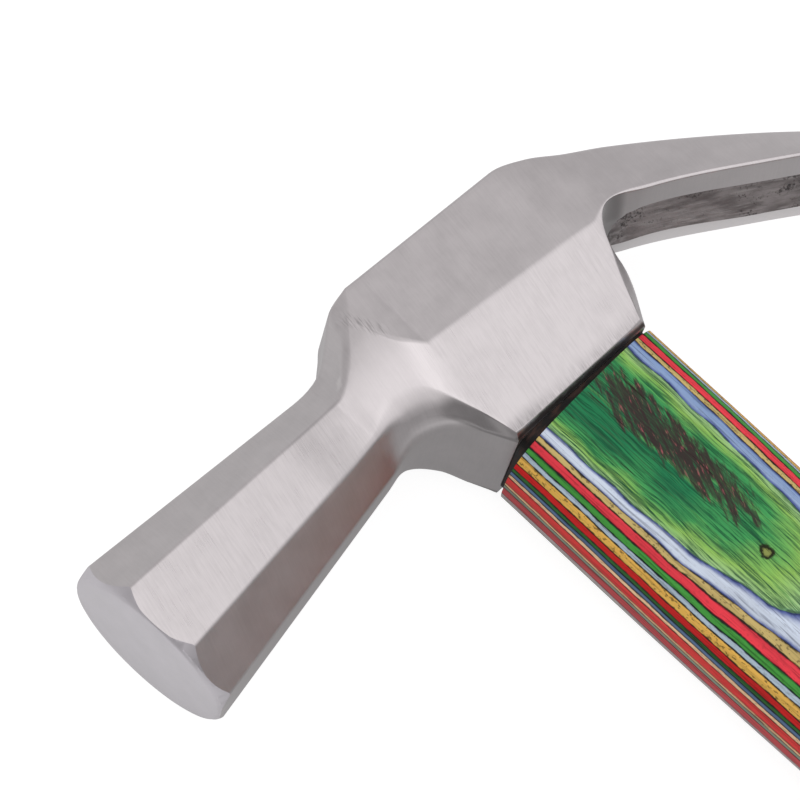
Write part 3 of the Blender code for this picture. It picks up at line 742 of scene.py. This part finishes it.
def head_edges():
    """Knots of the four long edges on the head's upper half, each with how softly it is rounded."""
    beyond = FACE_REACH + PAST
    throat = BOSS_HALF + 4
    shoulder = -SHOULDER_REACH
    inner = GROOVE_HALF - 1.8
    low_neck = barrel_corner(NECK_REACH, 3).y
    left = -BOSS_HALF + 0.2
    right = BOSS_HALF - 0.4
    left_foot = foot_level(left)
    right_foot = foot_level(right)
    top = [
        (barrel_corner(beyond, 0), 0.4),
        (barrel_corner(NECK_REACH + 2.6, 0), 0.5),
        (Vector((shoulder - 7.1, SHOULDER_PEAK - 2.05, 4.45)), 0.8),
        (Vector((shoulder - 3.1, SHOULDER_PEAK + 0.5, 5.9)), 0.8),
        (Vector((shoulder - 0.3, SHOULDER_PEAK + 2.55, 7.15)), 0.5),
        (Vector((shoulder + 3.3, top_level(shoulder + 3.3), TOP_HALF)), 0.3),
        (Vector((-BOSS_HALF + 3, top_level(-BOSS_HALF + 3), TOP_HALF)), 0.4),
        (Vector((BOSS_HALF + 1.8, top_level(BOSS_HALF + 1.8), TOP_HALF)), 0.4),
        (Vector((throat + 2.6, top_level(throat + 2.6) - 1.5, TOP_HALF)), 0.5),
        (claw_point(-0.076, claw_thickness(-0.1), TOP_HALF), 0.5),
        (claw_point(0.06, claw_thickness(0.09), TOP_HALF), 0.5),
        (claw_point(0.53, claw_thickness(0.52), (TOP_HALF + TIP_TOP_HALF) / 2), 0.5),
        (claw_point(1.0, TIP_THICKNESS, TIP_TOP_HALF), 0.4),
    ]
    ridge = [
        (barrel_corner(beyond, 1), 0.4),
        (barrel_corner(NECK_REACH, 1), 0.5),
        (Vector((shoulder - 4.5, SHOULDER_PEAK - 4.0, SHOULDER_HALF)), 1.2),
        (Vector((shoulder, SHOULDER_PEAK, SHOULDER_HALF)), 0.5),
        (Vector((shoulder + 1.4, SHOULDER_PEAK - 6.3, (SHOULDER_HALF + CHEEK_HALF) / 2)), 0.8),
        (Vector((-BOSS_HALF + 1.2, ridge_level(-BOSS_HALF) - 0.4, CHEEK_HALF)), 0.5),
        (Vector((BOSS_HALF, ridge_level(BOSS_HALF), CHEEK_HALF)), 0.5),
        (Vector((throat + 1.1, ridge_level(throat + 1.1), CHEEK_HALF)), 0.4),
        (claw_point(0.0, 0, CLAW_HALF), 0.3),
        (claw_point(0.13, 0, CLAW_HALF), 0.25),
        (claw_point(0.55, 0, CLAW_HALF), 0.25),
        (claw_point(1.0, 0, CLAW_HALF), 0.25),
    ]
    foot = [
        (barrel_corner(beyond, 2), 0.4),
        (barrel_corner(NECK_REACH, 2), 0.6),
        (Vector((shoulder - 4.6, ridge_level(0) - 1.8, CHEEK_HALF - 2.2)), 2.2),
        (Vector((shoulder - 0.7, ridge_level(0) - 3.7, CHEEK_HALF)), 2.0),
        (Vector((-BOSS_HALF - 1.2, left_foot + 7.4, CHEEK_HALF)), 0.5),
        (Vector((left + 0.2, left_foot + FOOT_CHAMFER, CHEEK_HALF)), 0.3),
        (Vector((right - 0.4, right_foot + FOOT_CHAMFER, CHEEK_HALF)), 0.3),
        (Vector((throat - 0.7, right_foot + 9.1, CHEEK_HALF)), 0.7),
        (claw_point(-0.02, -CLAW_EDGE - 0.2, CLAW_HALF), 0.5),
        (claw_point(0.13, -CLAW_EDGE, CLAW_HALF - 0.1), 0.25),
        (claw_point(0.55, -CLAW_EDGE, CLAW_HALF - 0.1), 0.25),
        (claw_point(1.0, -CLAW_EDGE, CLAW_HALF - 0.1), 0.25),
    ]
    under = [
        (barrel_corner(beyond, 3), 0.4),
        (barrel_corner(NECK_REACH, 3), 0.6),
        (Vector((shoulder - 4.9, low_neck + 0.6, 7.2)), 2.0),
        (Vector((shoulder - 0.5, left_foot + 6.8, CHEEK_HALF - 2.2)), 2.0),
        (Vector((-BOSS_HALF - 1.7, left_foot + 3.8, CHEEK_HALF - 1.8)), 0.6),
        (Vector((left, left_foot, CHEEK_HALF - 2 * FOOT_CHAMFER)), 0.3),
        (Vector((right, right_foot, CHEEK_HALF - 2 * FOOT_CHAMFER)), 0.3),
        (Vector((throat + 0.1, right_foot + 6.9, CHEEK_HALF - 2.9)), 1.4),
        (claw_point(-0.04, -CLAW_EDGE - 2.0, CLAW_HALF - 4.6), 1.4),
        (claw_point(0.13, -CLAW_EDGE - 0.75, inner), 0.3),
        (claw_point(0.55, -CLAW_EDGE - 0.9, inner), 0.3),
        (claw_point(1.0, -CLAW_EDGE - 0.4, inner), 0.3),
    ]
    neck = (12, 10, 10, 8, 8)
    claws = (10, 8, 10, 8, 12, 12)
    return (
        (top, (5, 6), (12, 5, 5, 5, 5, 16) + claws),
        (ridge, (3, 5, 7), neck + claws),
        (foot, (5, 6), neck + claws),
        (under, (5, 6), neck + claws),
    )


def soften(ring, reaches):
    """Round each corner of a closed ring, starting this far before it, and part the flats."""
    bends = []
    for i, corner in enumerate(ring):
        before = ring[i - 1] - corner
        after = ring[(i + 1) % len(ring)] - corner
        reach = min(reaches[i], ROUND_LIMIT * before.length, ROUND_LIMIT * after.length)
        bends.append((corner + before.normalized() * reach, corner,
                      corner + after.normalized() * reach))
    points = []
    for (a, corner, b), following in zip(bends, bends[1:] + bends[:1]):
        for step in range(ROUND_STEPS + 1):
            t = step / ROUND_STEPS
            points.append(a * (1 - t) ** 2 + corner * (2 * t * (1 - t)) + b * (t * t))
        for step in range(FLAT_POINTS):
            points.append(b.lerp(following[0], (step + 1) / (FLAT_POINTS + 1)))
    return points


def head_rings():
    """Rings round the head, from past the face to the claws' tips."""
    lines = []
    softness = []
    for number, (edge, breaks, steps) in enumerate(head_edges()):
        line = edge_curve([knot for knot, _ in edge], breaks, steps)
        if number in (1, 2):
            for point in line:
                if -FACE_REACH < point.x < 0:
                    point.z = front_level(point.x, point.y)
        lines.append(line)
        reaches = [edge[0][1]]
        for (_, first), (_, second), count in zip(edge, edge[1:], steps):
            reaches += [first + (second - first) * (k + 1) / count for k in range(count)]
        softness.append(reaches)
    rings = []
    for row, reaches in zip(zip(*lines), zip(*softness)):
        mirrored = [Vector((point.x, point.y, -point.z)) for point in reversed(row)]
        points = soften(list(row) + mirrored, reaches + reaches[::-1])
        if -FACE_REACH < row[1].x < 0:
            press(row, points)
        rings.append(points)
    return rings


def flow(first, second, amount):
    """What rounds off the corner where two flats meet: most of it on their common line."""
    return amount * max(0, 1 - abs(first - second) / (4 * amount)) ** 2


def front_level(x, y):
    """The head's front between the barrel and the cheek: three flats that flow into each other."""
    past = x + NECK_REACH
    barrel = NECK_FLATS - past * (FACE_FLATS - NECK_FLATS) / (FACE_REACH - NECK_REACH)
    above = y - SHOULDER_BOW_FROM
    shoulder = NECK_FLATS + SHOULDER_LIFT + past * SHOULDER_RISE - above * SHOULDER_LEAN
    shoulder -= SHOULDER_BOW * max(0, above) ** 2
    valley = max(barrel, shoulder) + flow(barrel, shoulder, FLOW)
    return min(valley, CHEEK_HALF) - flow(valley, CHEEK_HALF, EDGE_FLOW)


def press(ring, points):
    """Lay the points between the ridge and the foot edge of a ring on the front's surface."""
    one = ROUND_STEPS + 1 + FLAT_POINTS
    ridge, foot = ring[1], ring[2]
    run = (foot - ridge).to_2d()
    for first in (one, 5 * one):
        for k in range(first, first + one + ROUND_STEPS + 1):
            share = (points[k] - ridge).to_2d().dot(run) / run.length_squared
            share = min(max(share, 0), 1)
            spot = ridge.lerp(foot, share)
            lift = front_level(spot.x, spot.y) - spot.z
            points[k].z += math.copysign(lift, points[k].z)


def make_head():
    """Forge the skin, then cut the face, the groove between the claws and the eye."""
    scale = forged_scale()
    head = to_object("forged_head", loft(head_rings()),
                     ground_steel("ground_steel", 1.0, HEAD_STEEL))
    shade_flats(head)
    skin = head.data.copy()
    face = face_cutter(ground_steel("face_steel", 0.2, FACE_STEEL))
    groove = to_object("groove_cutter", groove_bar(), scale)
    eye = to_object("eye_cutter", eye_bar(), scale)
    cut(head, face, "INTERSECT")
    cut(head, groove, "DIFFERENCE")
    cut(head, eye, "DIFFERENCE")
    settle(head)
    discard(face, groove, eye)
    head.data.set_sharp_from_angle(angle=CUT_ANGLE)
    part_finishes(head.data)
    carry_normals(head.data, skin)
    keep(head, "ground_steel", "head")


def smooth_shading(mesh, angle):
    """Shade a mesh smoothly, with its edges sharp where they are steeper than this."""
    mesh.shade_smooth()
    mesh.set_sharp_from_angle(angle=angle)


def shade_flats(piece):
    """Smooth the rounded edges of the skin and keep the flats between them flat."""
    smooth_shading(piece.data, SKIN_ANGLE)
    weigh = piece.modifiers.new("flat_faces", "WEIGHTED_NORMAL")
    weigh.keep_sharp = True
    weigh.weight = 80
    settle(piece)


def part_finishes(mesh):
    """Keep the edge crisp where one finish meets another."""
    finishes = {}
    for face in mesh.polygons:
        for key in face.edge_keys:
            finishes.setdefault(key, set()).add(face.material_index)
    for edge in mesh.edges:
        if len(finishes[edge.key]) > 1:
            edge.use_edge_sharp = True


def carry_normals(mesh, skin):
    """Shade what the cuts left of the skin just as it was shaded before them."""
    skin.calc_loop_triangles()
    triangles = skin.loop_triangles
    tree = BVHTree.FromPolygons([vert.co for vert in skin.vertices],
                                [part.vertices for part in triangles])
    inwards = 0.02              # share of the way to the face's middle, clear of its neighbours
    normals = [corner.vector.copy() for corner in mesh.corner_normals]
    for face in mesh.polygons:
        if face.material_index > 0:
            continue
        for loop in face.loop_indices:
            spot = mesh.vertices[mesh.loops[loop].vertex_index].co.lerp(face.center, inwards)
            where, _, hit, _ = tree.find_nearest(spot)
            near = triangles[hit]
            shares = poly_3d_calc([skin.vertices[vert].co for vert in near.vertices], where)
            normal = Vector((0, 0, 0))
            for corner, share in zip(near.loops, shares):
                normal += skin.corner_normals[corner].vector * share
            normals[loop] = normal.normalized()
    mesh.normals_split_custom_set(normals)


def face_cutter(steel):
    """A turned cone round the whole head: its small end is the crowned striking face."""
    depth = FACE_REACH + TIP_REACH + 4 * PAST
    profile = [
        (0, depth),
        (FACE_RADIUS + FACE_CONE * depth, depth),
        (FACE_RADIUS + FACE_CONE * FACE_EDGE, FACE_EDGE),
        (FACE_RADIUS - 0.02 * FACE_EDGE, 0.6 * FACE_EDGE),
        (FACE_RADIUS - 0.3 * FACE_EDGE, 0.25 * FACE_EDGE),
        (FACE_RADIUS - FACE_EDGE, 0),
    ]
    crowned = FACE_RADIUS - FACE_EDGE
    for step in range(1, CROWN_STEPS + 1):
        r = crowned * (1 - step / CROWN_STEPS)
        profile.append((r, -FACE_CROWN * (1 - (r / crowned) ** 2)))
    slope = math.atan2(FACE_AXIS_DROP - NECK_AXIS_DROP, FACE_REACH - NECK_REACH)
    turn = Matrix.Rotation(slope, 3, "Z") @ Matrix.Rotation(math.pi / 2, 3, "Y")
    centre = Vector((-FACE_REACH, -FACE_AXIS_DROP, 0))
    shape = bmesh.new()
    points = [shape.verts.new(centre + turn @ Vector((r, 0, z))) for r, z in profile]
    chain = [shape.edges.new(pair) for pair in zip(points, points[1:])]
    bmesh.ops.spin(shape, geom=points + chain, cent=centre, axis=turn @ Vector((0, 0, 1)),
                   angle=math.tau, steps=FACE_SIDES, use_merge=True)
    bmesh.ops.remove_doubles(shape, verts=shape.verts, dist=0.001)
    bmesh.ops.recalc_face_normals(shape, faces=shape.faces)
    return to_object("face_cutter", shape, steel)


def groove_bar():
    """A V-shaped bar along the underside of the claws, rounded off where it starts."""
    length = (Vector((TIP_REACH, TIP_DEPTH)) - Vector((ROOT_REACH, ROOT_DEPTH))).length
    start = GROOVE_START / length
    # Share of the way from the claws' root to their tip, and the size of the V there.
    spots = [(start, 0.6), (start + 0.015, 0.8), (start + 0.04, 0.93), (start + 0.09, 1.0)]
    spots += [(0.16 + 0.06 * step, 1.0) for step in range(15)]
    spots.append((1.0 + PAST / length, 1.0))
    rings = []
    for share, size in spots:
        low = -CLAW_EDGE - PAST
        half = GROOVE_HALF * size
        spread = half + (half - GROOVE_FLOOR) / GROOVE_DEPTH * PAST
        rim = GROOVE_DEPTH * size - CLAW_EDGE
        rings.append([
            claw_point(share, low, spread),
            claw_point(share, rim, GROOVE_FLOOR * size),
            claw_point(share, rim, -GROOVE_FLOOR * size),
            claw_point(share, low, -spread),
        ])
    return loft(rings)


def oval(half_x, half_z, exponent, count):
    """Points of a rounded outline, from an ellipse at exponent 2 to a rectangle."""
    points = []
    for i in range(count):
        turn = math.tau * (i + 0.5) / count
        c = math.cos(turn)
        s = math.sin(turn)
        points.append((math.copysign(abs(c) ** (2 / exponent), c) * half_x,
                       math.copysign(abs(s) ** (2 / exponent), s) * half_z))
    return points


def spread_at(level):
    """How far the wedge pushes each half of the tenon outwards at this level."""
    return max(0.0, KERF_SPREAD * (level - KERF_LEVEL) / (TOP_HEIGHT - KERF_LEVEL))


def eye_bar():
    """A bar as thick as the eye, which widens upwards where the tenon is wedged."""
    rings = []
    for level in (SHOULDER_LEVEL - PAST, KERF_LEVEL, TOP_HEIGHT + TOP_FALL * NECK_REACH + PAST):
        ring = oval(EYE_HALF_LENGTH, EYE_HALF_WIDTH + spread_at(level), EYE_ROUND, EYE_SIDES)
        rings.append([Vector((x, level, z)) for x, z in ring])
    return loft(rings)


def handle_tree():
    """Geometry Nodes: a cylinder shaped by rule into the handle's outside, butt to tenon end."""
    tree = bpy.data.node_groups.new("handle_blank", "GeometryNodeTree")
    sizes = {
        "Length": HANDLE_LENGTH, "Shoulder Depth": -SHOULDER_LEVEL,
        "Shoulder Width": SHOULDER_WIDTH, "Belly Width": BELLY_WIDTH,
        "Waist Width": WAIST_WIDTH, "Swell Width": SWELL_WIDTH,
        "Butt Width": BUTT_WIDTH, "Butt Round": BUTT_ROUND,
        "Half Thickness": STACK_HALF, "Grip Half Thickness": GRIP_HALF,
        "Roundness": HANDLE_ROUND, "Tenon Roundness": EYE_ROUND,
        "Tenon Half Length": EYE_HALF_LENGTH - EYE_CLEARANCE,
        "Tenon Half Width": EYE_HALF_WIDTH - EYE_CLEARANCE,
    }
    face = tree.interface
    keys = {name: face.new_socket(name, in_out="INPUT", socket_type="NodeSocketFloat").identifier
            for name in sizes}
    face.new_socket("Geometry", in_out="OUTPUT", socket_type="NodeSocketGeometry")
    start = Wire(tree)
    size = start.node("NodeGroupInput")
    total = sum(HANDLE_ROWS)
    butt_end, shaft_end, step_end = (sum(HANDLE_ROWS[:k]) / total for k in (1, 2, 3))
    blank = start.node("GeometryNodeMeshCylinder", {"fill_type": "NGON"}, {
        "Vertices": HANDLE_SIDES, "Side Segments": total, "Radius": 1.0, "Depth": 1.0})
    spot = start.node("ShaderNodeSeparateXYZ", None,
                      {"Vector": start.node("GeometryNodeInputPosition")})
    share = spot.other("Z") + 0.5
    turn = share.linear(0.0, butt_end, math.pi / 2, 0.0)
    shaft = share.linear(butt_end, shaft_end)
    tenon = share.linear(shaft_end, step_end)
    rise = share.linear(step_end, 1.0)
    straight = size.other("Length") - size.other("Butt Round")
    depth = straight + size.other("Butt Round") * start.math("SINE", turn)
    depth = depth - (straight - size.other("Shoulder Depth")) * shaft
    scale = BUTT_FLAT + (1 - BUTT_FLAT) * start.math("COSINE", turn)
    width = size.other("Shoulder Width")
    marks = (("Shoulder Width", -SHOULDER_LEVEL), ("Belly Width", BELLY_AT),
             ("Waist Width", WAIST_AT), ("Swell Width", SWELL_AT), ("Butt Width", HANDLE_LENGTH))
    for (first, a), (second, b) in zip(marks, marks[1:]):
        width = width + (size.other(second) - size.other(first)) * depth.smooth(a, b)
    half_x = width * scale
    half_x = half_x + (size.other("Tenon Half Length") - half_x) * tenon
    thinning = size.other("Half Thickness") - size.other("Grip Half Thickness")
    half_z = (size.other("Half Thickness") - thinning * depth.smooth(THIN_FROM, THIN_TO)) * scale
    half_z = half_z + (size.other("Tenon Half Width") - half_z) * tenon
    power = size.other("Roundness")
    power = 2 / (power + (size.other("Tenon Roundness") - power) * tenon)
    x = start.math("SIGN", spot) * start.math("ABSOLUTE", spot) ** power * half_x
    lift = spot.other("Y")
    z = start.math("SIGN", lift) * start.math("ABSOLUTE", lift) ** power * half_z
    end = TOP_HEIGHT - TENON_INSET - x * TOP_FALL
    y = (end + depth) * rise - depth
    shaped = start.node("GeometryNodeSetPosition", None,
                        {"Geometry": blank, "Position": start.point(x, y, z)})
    real = start.node("GeometryNodeRealizeInstances", None, {"Geometry": shaped})
    dressed = start.node("GeometryNodeSetMaterial", None, {"Geometry": real})
    output = tree.nodes.new("NodeGroupOutput")
    start.plug(output, {"Geometry": dressed})
    return tree, [(keys[name], value) for name, value in sizes.items()]


def handle_blank():
    """The handle's outside as one body, in hammer millimetres."""
    tree, values = handle_tree()
    holder = bpy.data.objects.new("handle_blank", bpy.data.meshes.new("handle_blank"))
    bpy.context.scene.collection.objects.link(holder)
    step = holder.modifiers.new("handle_blank", "NODES")
    step.node_group = tree
    for key, value in values:
        step[key] = value
    settle(holder)
    shape = bmesh.new()
    shape.from_mesh(holder.data)
    discard(holder)
    bmesh.ops.remove_doubles(shape, verts=shape.verts, dist=0.0001)
    bmesh.ops.recalc_face_normals(shape, faces=shape.faces)
    return shape


def ripple(point):
    """Veneers are never quite level: how far the stack is pressed up or down at this place."""
    slow = noise.noise(Vector((point.x * 0.05, point.y * 0.035, point.z * 0.16)))
    quick = noise.noise(Vector((point.x * 0.16, point.y * 0.20, point.z * 0.5 + 40)))
    return RIPPLE_SLOW * slow + RIPPLE_QUICK * quick


def saw(shape, spot, beyond, through=True):
    """Saw along a plane; a cut right through drops what lies beyond it and is closed."""
    everything = shape.verts[:] + shape.edges[:] + shape.faces[:]
    bmesh.ops.bisect_plane(shape, geom=everything, dist=SLIVER, plane_co=spot,
                           plane_no=beyond, clear_outer=through)
    if through:
        rim = [edge for edge in shape.edges if edge.is_boundary]
        bmesh.ops.holes_fill(shape, edges=rim, sides=0)


def split_tenon(shape, place_in_stack):
    """Saw out the kerf's veneer above the kerf, and wedge the other ones apart."""
    sawn = place_in_stack == KERF_VENEER
    saw(shape, (0, KERF_LEVEL, 0), (0, 1, 0), sawn)
    if sawn:
        return
    side = 1 if place_in_stack < KERF_VENEER else -1
    for vert in shape.verts:
        vert.co.z += side * spread_at(vert.co.y)


def make_veneers():
    """Slice the blank along its rippled glue lines, one piece for each veneer."""
    blank = handle_blank()
    true_z = blank.verts.layers.float.new("true_z")
    for vert in blank.verts:
        vert[true_z] = vert.co.z
        if vert.co.y < RIPPLE_TOP:
            vert.co.z += ripple(vert.co)
    notch = to_object("notch_cutter", notch_bar())
    upper = STACK_HALF
    for index, row in enumerate(VENEERS):
        name, thickness = row[:2]
        lower = upper - thickness
        sheet = blank.copy()
        if index > 0:
            saw(sheet, (0, 0, upper), (0, 0, 1))
        if index < len(VENEERS) - 1:
            saw(sheet, (0, 0, lower), (0, 0, -1))
        level = sheet.verts.layers.float["true_z"]
        share = sheet.verts.layers.float.new("ply_share")
        for vert in sheet.verts:
            vert[share] = (vert.co.z - lower) / thickness
            vert.co.z = vert[level]
        split_tenon(sheet, index)
        bmesh.ops.recalc_face_normals(sheet, faces=sheet.faces)
        material = dyed_veneer(*row)
        piece = to_object("handle_" + name, sheet, material)
        if lower < STEEL_HALF_LENGTH and upper > -STEEL_HALF_LENGTH and index != KERF_VENEER:
            cut(piece, notch, "DIFFERENCE")
            settle(piece)
        smooth_shading(piece.data, PLAIN_ANGLE)
        colour = name.split("_", 2)[2]
        keep(piece, "veneer_" + colour, name)
        upper = lower
    blank.free()
    discard(notch)


def notch_bar():
    """The slot that the steel wedge splits through the veneers round it."""
    end = TOP_HEIGHT - TENON_INSET
    out = STEEL_HALF_LENGTH + STEEL_CLEARANCE
    rings = []
    ends = ((end - STEEL_DEPTH, NOTCH_FOOT_HALF), (end + PAST, STEEL_TOP_HALF + NOTCH_SPREAD))
    for level, half in ends:
        rings.append([Vector((half, level, out)), Vector((half, level, -out)),
                      Vector((-half, level, -out)), Vector((-half, level, out))])
    return loft(rings)


def make_bedding():
    """The resin in the seam below the head, squeezed out to the corners of the foot."""
    resin = black_resin()
    outline = oval(BOSS_HALF - BEDDING_INSET, CHEEK_HALF - 2 * FOOT_CHAMFER, BEDDING_ROUND,
                   BEDDING_SIDES)
    rings = [
        [Vector((x, SHOULDER_LEVEL, z)) for x, z in outline],
        [Vector((x, foot_level(x), z)) for x, z in outline],
    ]
    bed = to_object("resin_bed", loft(rings), resin)
    eye = to_object("eye_cutter", eye_bar(), resin)
    cut(bed, eye, "DIFFERENCE")
    settle(bed)
    discard(eye)
    smooth_shading(bed.data, PLAIN_ANGLE)
    keep(bed, "black_resin", "bedding_ring")


def dress_wedges():
    """The two wedges keep their CAD shape and get their real finish."""
    finishes = {"wooden_wedge": beech_end, "steel_wedge": wedge_steel}
    for name, make_finish in finishes.items():
        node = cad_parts[name]
        material = make_finish()
        for slot in node.material_slots:
            slot.material = material


bpy.context.scene.view_settings.view_transform = "Standard"
look_from_photo()
light_studio()
lay_floor()
make_head()
make_bedding()
make_veneers()
dress_wedges()
